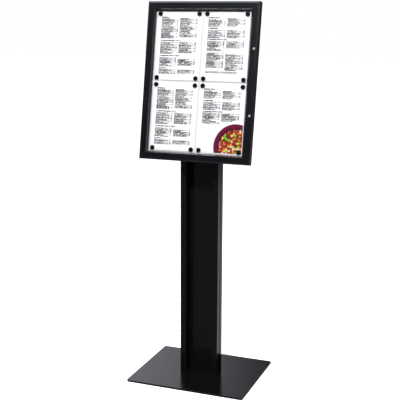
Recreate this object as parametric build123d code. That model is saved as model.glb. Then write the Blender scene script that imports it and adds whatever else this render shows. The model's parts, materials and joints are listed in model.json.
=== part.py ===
from build123d import *
import math
import os

# A free-standing, lockable poster case on a two-post column.
# Units are millimetres. +Z is up, the display faces -Y, and +X is on the viewer's right.
# The origin is the centre of the base plate's underside.

# ---------------------------------------------------------------- base and column
BASE_W = 545.0
BASE_D = 445.0
BASE_T = 8.0
BASE_CORNER_R = 12.0
BASE_EDGE_R = 1.2

COLUMN_W = 177.0
COLUMN_D = 62.0
POST_W = 27.0
POST_WALL = 2.2
POST_CORNER_R = 1.5
POST_TOP = 1240.0
SLOT_MOUTH = 7.0            # the accessory slot in each post's outer side
SLOT_LIP = 2.2
SLOT_W = 12.0
SLOT_DEPTH = 6.7
CHAMBER_SPLIT = 8.5         # half the height of the webs beside the slot
CAP_T = 3.0
CAP_PLUG = 12.0

CHANNEL_RECESS = 48.0       # from the posts' front faces to the channel's web
CHANNEL_T = 2.0
CHANNEL_FLANGE = 11.0
CHANNEL_SCREW_Z = (100.0, 480.0, 860.0, 1200.0)
CHANNEL_SCREW_R = 2.5
CHANNEL_SCREW_HEAD_R = 4.5
CHANNEL_SCREW_HEAD_H = 2.6

INSERT_H = 40.0
INSERT_CLEARANCE = 0.2
BASE_BOLT_R = 4.0
BASE_BOLT_HEAD_R = 8.0
BASE_BOLT_HEAD_H = 4.0
BASE_BOLT_RECESS = 0.5
BASE_BOLT_GRIP = 22.0
BASE_BOLT_SOCKET_R = 2.6
BASE_BOLT_SOCKET_DEPTH = 2.0

# ---------------------------------------------------------------- the case
TILT = 10.0                 # degrees that the case leans back
FACE_Y = -55.0              # the centre of the door's front face
FACE_Z = 1330.0
CASE_W = 503.0
CASE_H = 679.0

# Depths are measured back from the door's front face.
DOOR_BACK = 13.7
CASE_FRONT = 16.0
CASE_BACK = 34.0

RAIL_W = 35.0               # the door frame's face
RAIL_BEVEL_W = 7.5
RAIL_BEVEL_D = 5.4
RAIL_LIP_W = 8.0            # the part of the face that overhangs the pane
RAIL_INNER_BEVEL_W = 4.2
RAIL_INNER_BEVEL_D = 6.2
RAIL_LIP_D = 6.8
RAIL_WALL = 1.8
CORNER_KEY_LEG = 58.0
CORNER_KEY_GAP = 0.1

CASE_WALL = 1.8
CASE_FLANGE = 6.2
CASE_HINGE_FLANGE = 17.0
CASE_BACK_FLANGE = 16.0

CASE_SEAL_EDGE = 1.0
CASE_SEAL_W = 4.6
GLAZING_SEAL_T = 0.8
PANE_T = 3.0
PANE_EDGE_GAP = 0.8
BEAD_W = 4.0
BEAD_D = 3.0

BOARD_FRONT = 18.0
BOARD_T = 1.0
BOARD_MARGIN = 27.5         # from the case's outer edge to the board's edge
TRIM_EDGE = 32.2            # from the case's outer edge to the trim's outer side
TRIM_W = 4.3
TRIM_FRONT = 11.4
TRIM_CHAMFER = 0.8
SPACER_W = 20.0
SPACER_WALL = 1.5
BACK_PANEL_T = 1.5
BACK_PANEL_GAP = 0.4        # from the panel's edge to the case's outer wall
STIFFENER_W = 24.0
STIFFENER_T = 8.0
STIFFENER_HALF_LENGTH = 285.0
CORNER_BRACKET_LEG = 32.0
CORNER_BRACKET_T = 2.5
CORNER_BRACKET_FRONT = 22.0
CORNER_BRACKET_BACK = 29.0
RIVET_HEAD_R = 4.0
RIVET_HEAD_H = 1.2
RIVET_SHANK_R = 1.6

SHEET_W = 210.0
SHEET_H = 297.0
SHEET_T = 0.15
SHEET_GAP_X = 4.4
SHEET_GAP_Z = 5.6
MAGNET_R = 10.0
MAGNET_T = 5.5
MAGNET_DOME = 1.8
MAGNET_INSET_X = 15.4
MAGNET_INSET_Z = 12.0

# ---------------------------------------------------------------- hinge
HINGE_R = 2.5
HINGE_PIN_R = 1.25
HINGE_RUNNING_GAP = 0.05
HINGE_EDGE = 2.7            # from the case's left edge to the hinge axis
HINGE_DEPTH = 14.85         # from the door's front face to the hinge axis
HINGE_LEAF_T = 0.9
HINGE_LEAF_REACH = 16.0
HINGE_RELIEF = 5.6          # the corner cut out of both left stiles for the knuckles
DOOR_RELIEF_FROM = 10.0
CASE_RELIEF_TO = 18.0
KNUCKLE_COUNT = 15
KNUCKLE_PITCH = 40.0
KNUCKLE_GAP = 0.4
HINGE_SCREW_Z = (-260.0, -130.0, 0.0, 130.0, 260.0)
HINGE_SCREW_X = 11.0
HINGE_SCREW_R = 1.5
HINGE_SCREW_HEAD_R = 2.6
HINGE_SCREW_LENGTH = 5.0

# ---------------------------------------------------------------- locks
LOCK_EDGE = 13.0            # from the case's right edge to the lock axis
LOCK_Z = {"upper": 144.0, "lower": -134.0}
LOCK_RING_R = 5.5
LOCK_RING_T = 1.2
LOCK_BODY_R = 4.6
LOCK_BORE_R = 3.9
LOCK_PLUG_R = 3.85
LOCK_TAIL_R = 2.8
LOCK_BODY_END = 16.6
CAM_DEPTH = 18.4
CAM_T = 2.0
CAM_W = 8.0
CAM_REACH = 10.5
CAM_SCREW_R = 1.5
CAM_SCREW_HEAD_R = 3.2
CAM_SCREW_HEAD_H = 2.2
CAM_SCREW_LENGTH = 5.0
NUT_FLAT = 11.0
NUT_T = 2.0
KEY_SLOT_W = 1.2
KEY_SLOT_H = 5.2
KEY_SLOT_DEPTH = 2.0        # below the door's face

# ---------------------------------------------------------------- tilt brackets
BRACKET_T = 3.0
BRACKET_FLANGE = 30.0
BRACKET_REAR_Y = 11.0
BRACKET_Z = (1045.0, 1232.0)
BRACKET_HEEL_Z = 1085.0
BRACKET_NOSE = 28.0         # the web's depth at its lower end
BRACKET_POST_BOLT_Z = (1115.0, 1205.0)
BRACKET_POST_BOLT_Y = -12.0
BRACKET_CASE_BOLT_U = (-255.0, -125.0)
BOLT_R = 3.0
BOLT_HEAD_R = 5.2
BOLT_HEAD_H = 3.0
BOLT_HEAD_ROUND = 1.6
BOLT_SOCKET_R = 2.3
BOLT_SOCKET_DEPTH = 1.6

BIG = 1000.0                # longer than any cut needs

tilted = Pos(0, FACE_Y, FACE_Z) * Rot(-TILT, 0, 0)
parts = {}


# ---------------------------------------------------------------- helpers
def block(x0, x1, y0, y1, z0, z1):
    """A box given by its limits."""
    return Pos((x0 + x1) / 2, (y0 + y1) / 2, (z0 + z1) / 2) * Box(x1 - x0, y1 - y0, z1 - z0)


def rod_y(x, z, radius, y0, y1):
    """A cylinder along Y."""
    return Pos(x, (y0 + y1) / 2, z) * Rot(90, 0, 0) * Cylinder(radius, y1 - y0)


def rod_x(y, z, radius, x0, x1):
    """A cylinder along X, whichever end is given first."""
    return Pos((x0 + x1) / 2, y, z) * Rot(0, 90, 0) * Cylinder(radius, abs(x1 - x0))


def group(solids):
    """Separate solids that share one node."""
    return Compound([solid for shape in solids for solid in shape.solids()])


def mirrored(shape):
    """The same piece on the other side of the centre plane."""
    return mirror(shape, about=Plane.YZ)


def tapered_y(x, z, r0, r1, y0, y1):
    """A cone along +Y, of radius r0 at y0 and r1 at y1."""
    return Pos(x, (y0 + y1) / 2, z) * Rot(-90, 0, 0) * Cone(r0, r1, y1 - y0)


def four_sides(rail_x, rail_z, width, height):
    """A frame's four members, from one along X and one for the stiles, each with its outer edge on Z=0."""
    return {
        "bottom": Pos(0, 0, -height / 2) * rail_x,
        "top": Pos(0, 0, height / 2) * Rot(0, 180, 0) * rail_x,
        "left": Pos(-width / 2, 0, 0) * Rot(0, 90, 0) * rail_z,
        "right": Pos(width / 2, 0, 0) * Rot(0, -90, 0) * rail_z,
    }


def mitred(outline, length, depth_of_mitre, hollow=None):
    """A bar along X with 45 degree ends. Outline points are (inward from the edge, back from the face)."""
    section = Plane.YZ * Polygon(*[(back, inward) for inward, back in outline], align=None)
    bar = extrude(section, amount=length / 2, both=True)
    if hollow:
        chamber = Plane.YZ * Polygon(*[(back, inward) for inward, back in hollow], align=None)
        bar -= extrude(chamber, amount=length / 2, both=True)
    half = length / 2
    top = half - depth_of_mitre
    corners = [(-half, 0), (half, 0), (top, depth_of_mitre), (-top, depth_of_mitre)]
    wedge = Plane.XZ * Polygon(*corners, align=None)
    return bar & extrude(wedge, amount=BIG, both=True)


def ring(width, height, inset, thickness_across, y0, y1):
    """A flat rectangular ring, such as a seal, its outer edge inset from width x height."""
    outer_w = width / 2 - inset
    outer_h = height / 2 - inset
    inner_w = outer_w - thickness_across
    inner_h = outer_h - thickness_across
    body = block(-outer_w, outer_w, y0, y1, -outer_h, outer_h)
    return body - block(-inner_w, inner_w, y0 - 1, y1 + 1, -inner_h, inner_h)


# ---------------------------------------------------------------- base and column
def post_outline():
    """The right post's section: a hollow extrusion with a T slot in its outer side."""
    half = COLUMN_W / 2
    rim = Rectangle(POST_W, COLUMN_D)
    rim = fillet(rim.vertices(), POST_CORNER_R)
    section = Pos(half - POST_W / 2, 0) * rim
    section -= Pos(half - SLOT_LIP / 2, 0) * Rectangle(SLOT_LIP, SLOT_MOUTH)
    slot_depth = SLOT_DEPTH - SLOT_LIP
    section -= Pos(half - SLOT_LIP - slot_depth / 2, 0) * Rectangle(slot_depth, SLOT_W)
    for chamber in post_chambers():
        section -= chamber
    return section


def post_chambers(shrink=0.0):
    """The right post's front, middle and rear chambers, less a clearance all round."""
    half = COLUMN_W / 2
    outer = half - POST_WALL
    inner = half - POST_W + POST_WALL
    slot_floor = half - SLOT_DEPTH - POST_WALL
    end = COLUMN_D / 2 - POST_WALL
    web = CHAMBER_SPLIT
    middle_end = web - POST_WALL
    limits = [
        (inner, outer, -end, -web),
        (inner, slot_floor, -middle_end, middle_end),
        (inner, outer, web, end),
    ]
    return [
        Pos((x0 + x1) / 2, (y0 + y1) / 2) * Rectangle(x1 - x0 - 2 * shrink, y1 - y0 - 2 * shrink)
        for x0, x1, y0, y1 in limits
    ]


def base_bolt_places():
    """The centres of the bolts up into each post: (x, y), for the right post."""
    chamber_mid_y = (CHAMBER_SPLIT + COLUMN_D / 2 - POST_WALL) / 2
    x = (COLUMN_W - POST_W) / 2
    return [(x, -chamber_mid_y), (x, chamber_mid_y)]


def base_bolt(x, y):
    """A countersunk bolt, its head recessed in the underside."""
    cone = Cone(BASE_BOLT_HEAD_R, BASE_BOLT_R, BASE_BOLT_HEAD_H)
    head = Pos(x, y, BASE_BOLT_RECESS + BASE_BOLT_HEAD_H / 2) * cone
    shank_from = BASE_BOLT_RECESS + BASE_BOLT_HEAD_H
    shank = Pos(x, y, shank_from + BASE_BOLT_GRIP / 2) * Cylinder(BASE_BOLT_R, BASE_BOLT_GRIP)
    hexagon = RegularPolygon(BASE_BOLT_SOCKET_R, 6)
    socket = Pos(x, y, BASE_BOLT_RECESS) * extrude(hexagon, amount=BASE_BOLT_SOCKET_DEPTH)
    return head + shank - socket


def make_base():
    outline = fillet(Rectangle(BASE_W, BASE_D).vertices(), BASE_CORNER_R)
    plate = extrude(outline, amount=BASE_T)
    rim = plate.faces().sort_by(Axis.Z)[-1].edges()
    plate = fillet(rim, BASE_EDGE_R)
    bolts = []
    for x, y in base_bolt_places():
        for side in (-1, 1):
            bolts.append(base_bolt(side * x, y))
            plate -= Pos(side * x, y, BASE_T / 2) * Cylinder(BASE_BOLT_R, BASE_T + 1)
            plate -= Pos(side * x, y, BASE_BOLT_RECESS / 2) * Cylinder(BASE_BOLT_HEAD_R, BASE_BOLT_RECESS)
            cone_mid = BASE_BOLT_RECESS + BASE_BOLT_HEAD_H / 2
            plate -= Pos(side * x, y, cone_mid) * Cone(BASE_BOLT_HEAD_R, BASE_BOLT_R, BASE_BOLT_HEAD_H)
    parts["base_plate"] = plate
    parts["base_bolts"] = group(bolts)


def make_posts():
    """The two posts, their threaded feet and their caps."""
    length = POST_TOP - BASE_T
    post = Pos(0, 0, BASE_T) * extrude(post_outline(), amount=length)
    inner_x = COLUMN_W / 2 - POST_W
    for z in CHANNEL_SCREW_Z:
        post -= rod_x(channel_screw_y(), z, CHANNEL_SCREW_R, inner_x - 1, inner_x + POST_WALL + 1)
    for z in BRACKET_POST_BOLT_Z:
        post -= rod_x(BRACKET_POST_BOLT_Y, z, BOLT_R, inner_x - 1, inner_x + POST_WALL + 1)
    front, middle, rear = post_chambers(INSERT_CLEARANCE)
    feet = []
    for chamber, (x, y) in zip((front, rear), base_bolt_places()):
        foot = Pos(0, 0, BASE_T) * extrude(chamber, amount=INSERT_H)
        feet.append(foot - Pos(x, y, BASE_T + INSERT_H / 2) * Cylinder(BASE_BOLT_R, INSERT_H + 1))
    lid = extrude(fillet(Rectangle(POST_W, COLUMN_D).vertices(), POST_CORNER_R), amount=CAP_T)
    lid = Pos(COLUMN_W / 2 - POST_W / 2, 0, POST_TOP) * lid
    lid = chamfer(lid.faces().sort_by(Axis.Z)[-1].edges(), 0.8)
    for chamber in (front, middle, rear):
        lid += Pos(0, 0, POST_TOP - CAP_PLUG) * extrude(chamber, amount=CAP_PLUG)
    parts["column_post_right"] = post
    parts["column_post_left"] = mirrored(post)
    parts["post_foot_right"] = group(feet)
    parts["post_foot_left"] = group([mirrored(foot) for foot in feet])
    parts["post_cap_right"] = lid
    parts["post_cap_left"] = mirrored(lid)


def channel_screw_y():
    web_back = -COLUMN_D / 2 + CHANNEL_RECESS + CHANNEL_T
    return web_back + CHANNEL_FLANGE / 2


def make_channel():
    """The folded sheet between the posts: its web is the recessed panel, and its flanges tie the posts."""
    half = COLUMN_W / 2 - POST_W
    web_y = -COLUMN_D / 2 + CHANNEL_RECESS
    flange_y = web_y + CHANNEL_T + CHANNEL_FLANGE
    top = POST_TOP
    channel = block(-half, half, web_y, flange_y, BASE_T, top)
    channel -= block(-half + CHANNEL_T, half - CHANNEL_T, web_y + CHANNEL_T, flange_y + 1, 0, top + 1)
    screws = []
    for z in CHANNEL_SCREW_Z:
        for side in (-1, 1):
            y = channel_screw_y()
            channel -= rod_x(y, z, CHANNEL_SCREW_R, side * (half - CHANNEL_T - 1), side * (half + 1))
            head_from = half - CHANNEL_T
            head_top = head_from - CHANNEL_SCREW_HEAD_H
            head = rod_x(y, z, CHANNEL_SCREW_HEAD_R, side * head_top, side * head_from)
            head = fillet(head.faces().sort_by(Axis.X)[0 if side > 0 else -1].edges(), 1.4)
            shank = rod_x(y, z, CHANNEL_SCREW_R, side * head_from, side * (half + 8))
            screws.append(head + shank)
    parts["column_channel"] = channel
    parts["channel_screws"] = group(screws)


# ---------------------------------------------------------------- tilt brackets
def back_plane_y(z):
    """Where the case's back plane is at a height, since it leans back."""
    lean = math.radians(TILT)
    y = FACE_Y + CASE_BACK * math.cos(lean)
    foot = FACE_Z - CASE_BACK * math.sin(lean)
    return y + (z - foot) * math.tan(lean)


def height_up_back(z):
    """How far up the case's back, from the case's centre, a height lies."""
    lean = math.radians(TILT)
    return (z - FACE_Z + CASE_BACK * math.sin(lean)) / math.cos(lean)


def bracket_bolt_x():
    return COLUMN_W / 2 - POST_W - BRACKET_FLANGE / 2 - BRACKET_T / 2


def make_brackets():
    """Folded steel brackets from the posts' inner faces to the case's back."""
    outer = COLUMN_W / 2 - POST_W
    inner = outer - BRACKET_T
    low, high = BRACKET_Z
    web = Polygon(
        (BRACKET_REAR_Y, BRACKET_HEEL_Z),
        (BRACKET_REAR_Y, high),
        (back_plane_y(high), high),
        (back_plane_y(low), low),
        (back_plane_y(low) + BRACKET_NOSE, low),
        align=None,
    )
    bracket = Pos(inner, 0, 0) * extrude(Plane.YZ * web, amount=BRACKET_T)
    flange_low = height_up_back(low)
    flange_high = height_up_back(high)
    flange = block(outer - BRACKET_FLANGE, outer, CASE_BACK, CASE_BACK + BRACKET_T, flange_low, flange_high)
    bracket += tilted * flange
    post_bolts = []
    for z in BRACKET_POST_BOLT_Z:
        bracket -= rod_x(BRACKET_POST_BOLT_Y, z, BOLT_R, inner - 1, outer + 1)
        head = rod_x(BRACKET_POST_BOLT_Y, z, BOLT_HEAD_R, inner - BOLT_HEAD_H, inner)
        head = fillet(head.faces().sort_by(Axis.X)[0].edges(), BOLT_HEAD_ROUND)
        head += rod_x(BRACKET_POST_BOLT_Y, z, BOLT_R, inner, outer + 9)
        post_bolts.append(head - hex_socket_x(BRACKET_POST_BOLT_Y, z, inner - BOLT_HEAD_H))
    case_bolts = []
    for u in BRACKET_CASE_BOLT_U:
        x = bracket_bolt_x()
        bracket -= tilted * rod_y(x, u, BOLT_R, CASE_BACK - 1, CASE_BACK + BRACKET_T + 1)
        head_from = CASE_BACK + BRACKET_T
        head = rod_y(x, u, BOLT_HEAD_R, head_from, head_from + BOLT_HEAD_H)
        head = fillet(head.faces().sort_by(Axis.Y)[-1].edges(), BOLT_HEAD_ROUND)
        head += rod_y(x, u, BOLT_R, stiffener_front() + 1, head_from)
        socket = Rot(90, 0, 0) * extrude(RegularPolygon(BOLT_SOCKET_R, 6), amount=BOLT_SOCKET_DEPTH)
        socket = Pos(x, head_from + BOLT_HEAD_H, u) * socket
        case_bolts.append(tilted * (head - socket))
    parts["tilt_bracket_right"] = bracket
    parts["tilt_bracket_left"] = mirrored(bracket)
    parts["bracket_post_bolts"] = group(post_bolts + [mirrored(bolt) for bolt in post_bolts])
    parts["bracket_case_bolts"] = group(case_bolts + [mirrored(bolt) for bolt in case_bolts])


def hex_socket_x(y, z, x):
    """A key socket that opens towards -X at x."""
    return Pos(x, y, z) * Rot(0, 90, 0) * extrude(RegularPolygon(BOLT_SOCKET_R, 6), amount=BOLT_SOCKET_DEPTH)


# ---------------------------------------------------------------- case
def case_rail_outline():
    """A C section: outer wall, short front flange, and a wider back flange that the back panel covers."""
    return [
        (0, CASE_FRONT),
        (CASE_FLANGE, CASE_FRONT),
        (CASE_FLANGE, CASE_FRONT + CASE_WALL),
        (CASE_WALL, CASE_FRONT + CASE_WALL),
    ] + case_back_flange_outline()


def case_back_flange_outline():
    """The rear of every case member, from inside its wall round to the outer back edge."""
    panel_front = CASE_BACK - BACK_PANEL_T
    return [
        (CASE_WALL, panel_front - CASE_WALL),
        (CASE_BACK_FLANGE, panel_front - CASE_WALL),
        (CASE_BACK_FLANGE, panel_front),
        (CASE_WALL, panel_front),
        (CASE_WALL, CASE_BACK),
        (0, CASE_BACK),
    ]


def case_hinge_stile_outline():
    """The left stile: the same section, stepped in for the hinge knuckles, with a flange for the leaf."""
    return [
        (0, CASE_RELIEF_TO),
        (HINGE_RELIEF, CASE_RELIEF_TO),
        (HINGE_RELIEF, CASE_FRONT),
        (CASE_HINGE_FLANGE, CASE_FRONT),
        (CASE_HINGE_FLANGE, CASE_FRONT + CASE_WALL),
        (HINGE_RELIEF + CASE_WALL, CASE_FRONT + CASE_WALL),
        (HINGE_RELIEF + CASE_WALL, CASE_RELIEF_TO + CASE_WALL),
        (CASE_WALL, CASE_RELIEF_TO + CASE_WALL),
    ] + case_back_flange_outline()


def stiffener_front():
    return CASE_BACK - BACK_PANEL_T - STIFFENER_T


def make_case_frame():
    rail = mitred(case_rail_outline(), CASE_W, CASE_HINGE_FLANGE)
    stile = mitred(case_rail_outline(), CASE_H, CASE_HINGE_FLANGE)
    members = four_sides(rail, stile, CASE_W, CASE_H)
    hinge_stile = mitred(case_hinge_stile_outline(), CASE_H, CASE_HINGE_FLANGE)
    members["left"] = four_sides(rail, hinge_stile, CASE_W, CASE_H)["left"]
    relief = block(
        -CASE_W / 2 - 1, -CASE_W / 2 + HINGE_RELIEF, CASE_FRONT - 1, CASE_RELIEF_TO, -CASE_H, CASE_H
    )
    rivets = []
    rivet_tip = CASE_BACK - BACK_PANEL_T - CASE_WALL - 1.0
    for x, z in rivet_places():
        for name in members:
            members[name] -= rod_y(x, z, RIVET_SHANK_R, rivet_tip, CASE_BACK + 1)
        shank = rod_y(x, z, RIVET_SHANK_R, rivet_tip, CASE_BACK)
        head = rod_y(x, z, RIVET_HEAD_R, CASE_BACK, CASE_BACK + RIVET_HEAD_H)
        rivets.append(shank + fillet(head.faces().sort_by(Axis.Y)[-1].edges(), 0.9))
    for z in HINGE_SCREW_Z:
        x = -CASE_W / 2 + HINGE_SCREW_X
        members["left"] -= rod_y(x, z, HINGE_SCREW_R, CASE_FRONT - 1, CASE_FRONT + CASE_WALL + 1)
    for name in ("top", "bottom"):
        members[name] -= relief
        parts[f"case_rail_{name}"] = tilted * members[name]
    for name in ("left", "right"):
        parts[f"case_stile_{name}"] = tilted * members[name]
    parts["back_panel_rivets"] = tilted * group(rivets)


def rivet_places():
    """Rivets along the middle of the back flanges."""
    edge_x = CASE_W / 2 - CASE_BACK_FLANGE / 2
    edge_z = CASE_H / 2 - CASE_BACK_FLANGE / 2
    across = [(x, side * edge_z) for x in (-200.0, -70.0, 70.0, 200.0) for side in (-1, 1)]
    along = [(side * edge_x, z) for z in (-200.0, 0.0, 200.0) for side in (-1, 1)]
    return across + along


def make_case_inside():
    """Corner brackets, back panel, stiffeners, board spacers and the magnetic board."""
    wall_x = CASE_W / 2 - CASE_WALL
    wall_z = CASE_H / 2 - CASE_WALL
    y0 = CORNER_BRACKET_FRONT
    y1 = CORNER_BRACKET_BACK
    x_in = wall_x - CORNER_BRACKET_LEG
    z_in = wall_z - CORNER_BRACKET_LEG
    corners = []
    for sx in (-1, 1):
        for sz in (-1, 1):
            angle = block(x_in, wall_x, y0, y1, wall_z - CORNER_BRACKET_T, wall_z)
            angle += block(wall_x - CORNER_BRACKET_T, wall_x, y0, y1, z_in, wall_z)
            if sx < 0:
                angle = mirror(angle, about=Plane.YZ)
            if sz < 0:
                angle = mirror(angle, about=Plane.XY)
            corners.append(angle)
    parts["case_corner_brackets"] = tilted * group(corners)

    back_y1 = CASE_BACK
    back_y0 = back_y1 - BACK_PANEL_T
    panel_w = wall_x - BACK_PANEL_GAP
    panel_h = wall_z - BACK_PANEL_GAP
    panel = block(-panel_w, panel_w, back_y0, back_y1, -panel_h, panel_h)
    for x, z in rivet_places():
        panel -= rod_y(x, z, RIVET_SHANK_R, back_y0 - 1, back_y1 + 1)
    bolt_places = [(side * bracket_bolt_x(), u) for u in BRACKET_CASE_BOLT_U for side in (-1, 1)]
    for x, u in bolt_places:
        panel -= rod_y(x, u, BOLT_R, back_y0 - 1, back_y1 + 1)
    parts["case_back_panel"] = tilted * panel

    for name, side in (("left", -1), ("right", 1)):
        x = side * bracket_bolt_x()
        half_w = STIFFENER_W / 2
        half_h = STIFFENER_HALF_LENGTH
        bar = block(x - half_w, x + half_w, stiffener_front(), back_y0, -half_h, half_h)
        for bolt_x, u in bolt_places:
            bar -= rod_y(bolt_x, u, BOLT_R, stiffener_front() - 1, back_y0 + 1)
        parts[f"back_stiffener_{name}"] = tilted * bar

    half_w = CASE_W / 2 - BOARD_MARGIN
    half_h = CASE_H / 2 - BOARD_MARGIN
    board_y1 = BOARD_FRONT + BOARD_T
    board = block(-half_w, half_w, BOARD_FRONT, board_y1, -half_h, half_h)
    parts["magnet_board"] = tilted * board
    spacers = {
        "top": (-half_w, half_w, half_h - SPACER_W, half_h),
        "bottom": (-half_w, half_w, -half_h, -half_h + SPACER_W),
        "left": (-half_w, -half_w + SPACER_W, -half_h + SPACER_W, half_h - SPACER_W),
        "right": (half_w - SPACER_W, half_w, -half_h + SPACER_W, half_h - SPACER_W),
    }
    for name, (x0, x1, z0, z1) in spacers.items():
        spacer = block(x0, x1, board_y1, back_y0, z0, z1)
        grow_x = 1 if name in ("top", "bottom") else -SPACER_WALL
        grow_z = -SPACER_WALL if name in ("top", "bottom") else 1
        spacer -= block(
            x0 - grow_x, x1 + grow_x, board_y1 + SPACER_WALL, back_y0 + 1, z0 - grow_z, z1 + grow_z
        )
        parts[f"board_spacer_{name}"] = tilted * spacer


def make_board_trim():
    """A slim black surround on the board, mitred at its corners, that fills the view behind the door's lip."""
    inner = TRIM_EDGE + TRIM_W
    outline = [
        (TRIM_EDGE, TRIM_FRONT),
        (inner - TRIM_CHAMFER, TRIM_FRONT),
        (inner, TRIM_FRONT + TRIM_CHAMFER),
        (inner, BOARD_FRONT),
        (TRIM_EDGE, BOARD_FRONT),
    ]
    across = mitred(outline, CASE_W, inner)
    upright = mitred(outline, CASE_H, inner)
    parts["board_trim"] = tilted * group(four_sides(across, upright, CASE_W, CASE_H).values())


def make_seals():
    """The door's rest on the case, and the strip between the door's lip and its pane."""
    seal_front = DOOR_BACK + 0.3
    case_seal = ring(CASE_W, CASE_H, CASE_SEAL_EDGE, CASE_SEAL_W, seal_front, CASE_FRONT)
    hinge_side = -CASE_W / 2 + CASE_HINGE_FLANGE + 0.2
    case_seal -= block(-CASE_W / 2 - 1, hinge_side, seal_front - 1, CASE_FRONT + 1, -CASE_H, CASE_H)
    parts["case_seal"] = tilted * case_seal
    lip_inset = RAIL_W - RAIL_LIP_W + 1.0
    glazing_seal = ring(
        CASE_W, CASE_H, lip_inset, RAIL_LIP_W + 0.8, RAIL_LIP_D, RAIL_LIP_D + GLAZING_SEAL_T
    )
    parts["glazing_seal"] = tilted * glazing_seal


# ---------------------------------------------------------------- hinge
def hinge_leaf(first, y0, y1):
    """One leaf of the continuous hinge, with every second knuckle from the first."""
    axis_x = -CASE_W / 2 + HINGE_EDGE
    plate_x = -CASE_W / 2 + HINGE_RELIEF
    reach_x = -CASE_W / 2 + HINGE_LEAF_REACH
    half = KNUCKLE_COUNT * KNUCKLE_PITCH / 2
    leaf = block(plate_x, reach_x, y0, y1, -half, half)
    for i in range(first, KNUCKLE_COUNT, 2):
        z0 = -half + i * KNUCKLE_PITCH + KNUCKLE_GAP / 2
        z1 = z0 + KNUCKLE_PITCH - KNUCKLE_GAP
        barrel = Pos(axis_x, HINGE_DEPTH, (z0 + z1) / 2) * Cylinder(HINGE_R, z1 - z0)
        leaf += barrel + block(axis_x, plate_x + 0.5, y0, y1, z0, z1)
    return leaf - Pos(axis_x, HINGE_DEPTH, 0) * Cylinder(HINGE_PIN_R + HINGE_RUNNING_GAP, 2 * half + 1)


def countersunk_screw(x, z, head_y, tip_y):
    """A small screw along Y: its flat head is at head_y, and it tapers over one leaf's thickness."""
    way = 1 if tip_y > head_y else -1
    neck = head_y + way * HINGE_LEAF_T
    if way > 0:
        head = tapered_y(x, z, HINGE_SCREW_HEAD_R, HINGE_SCREW_R, head_y, neck)
        return head + rod_y(x, z, HINGE_SCREW_R, neck, tip_y)
    head = tapered_y(x, z, HINGE_SCREW_R, HINGE_SCREW_HEAD_R, neck, head_y)
    return head + rod_y(x, z, HINGE_SCREW_R, tip_y, neck)


def make_hinge():
    door_y0 = DOOR_BACK
    door_y1 = DOOR_BACK + HINGE_LEAF_T
    case_y0 = CASE_FRONT - HINGE_LEAF_T
    x = -CASE_W / 2 + HINGE_SCREW_X
    fixed = hinge_leaf(0, case_y0, CASE_FRONT)
    moving = hinge_leaf(1, door_y0, door_y1)
    case_tip = CASE_FRONT + HINGE_SCREW_LENGTH
    door_tip = DOOR_BACK - HINGE_SCREW_LENGTH
    case_screws = [countersunk_screw(x, z, case_y0, case_tip) for z in HINGE_SCREW_Z]
    door_screws = [countersunk_screw(x, z, door_y1, door_tip) for z in HINGE_SCREW_Z]
    for screw in case_screws:
        fixed -= screw
    for screw in door_screws:
        moving -= screw
    pin_half = KNUCKLE_COUNT * KNUCKLE_PITCH / 2 - 0.3
    pin = Pos(-CASE_W / 2 + HINGE_EDGE, HINGE_DEPTH, 0) * Cylinder(HINGE_PIN_R, 2 * pin_half)
    parts["hinge_fixed_leaf"] = tilted * fixed
    parts["hinge_door_leaf"] = tilted * moving
    parts["hinge_pin"] = tilted * pin
    parts["hinge_case_screws"] = tilted * group(case_screws)
    parts["hinge_door_screws"] = tilted * group(door_screws)


# ---------------------------------------------------------------- door
def door_rail_outline():
    """Bevelled outer edge, flat face, and a lip with a small bevel that overhangs the pane."""
    lip_root = RAIL_W - RAIL_LIP_W
    return [
        (0, RAIL_BEVEL_D),
        (RAIL_BEVEL_W, 0),
        (RAIL_W - RAIL_INNER_BEVEL_W, 0),
        (RAIL_W, RAIL_INNER_BEVEL_D),
        (RAIL_W, RAIL_LIP_D),
        (lip_root, RAIL_LIP_D),
        (lip_root, DOOR_BACK),
        (0, DOOR_BACK),
    ]


def door_chamber():
    """The closed chamber in each door rail, as (inward, back) corners."""
    x0 = RAIL_BEVEL_W
    x1 = RAIL_W - RAIL_LIP_W - RAIL_WALL
    y0 = RAIL_WALL
    y1 = DOOR_BACK - RAIL_WALL
    return [(x0, y0), (x1, y0), (x1, y1), (x0, y1)]


def make_door_frame():
    rail = mitred(door_rail_outline(), CASE_W, RAIL_W, door_chamber())
    stile = mitred(door_rail_outline(), CASE_H, RAIL_W, door_chamber())
    members = four_sides(rail, stile, CASE_W, CASE_H)
    relief = block(
        -CASE_W / 2 - 1, -CASE_W / 2 + HINGE_RELIEF, DOOR_RELIEF_FROM, DOOR_BACK + 1, -CASE_H, CASE_H
    )
    for name in ("left", "top", "bottom"):
        members[name] -= relief
    screw_x = -CASE_W / 2 + HINGE_SCREW_X
    for z in HINGE_SCREW_Z:
        members["left"] -= rod_y(screw_x, z, HINGE_SCREW_R, DOOR_BACK - RAIL_WALL - 1, DOOR_BACK + 1)
    for z in LOCK_Z.values():
        members["right"] -= rod_y(CASE_W / 2 - LOCK_EDGE, z, LOCK_BODY_R, -1, DOOR_BACK + 1)
    for name in ("top", "bottom"):
        parts[f"door_rail_{name}"] = tilted * members[name]
    for name in ("left", "right"):
        parts[f"door_stile_{name}"] = tilted * members[name]
    parts["door_corner_keys"] = tilted * group(door_corner_keys())


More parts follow.
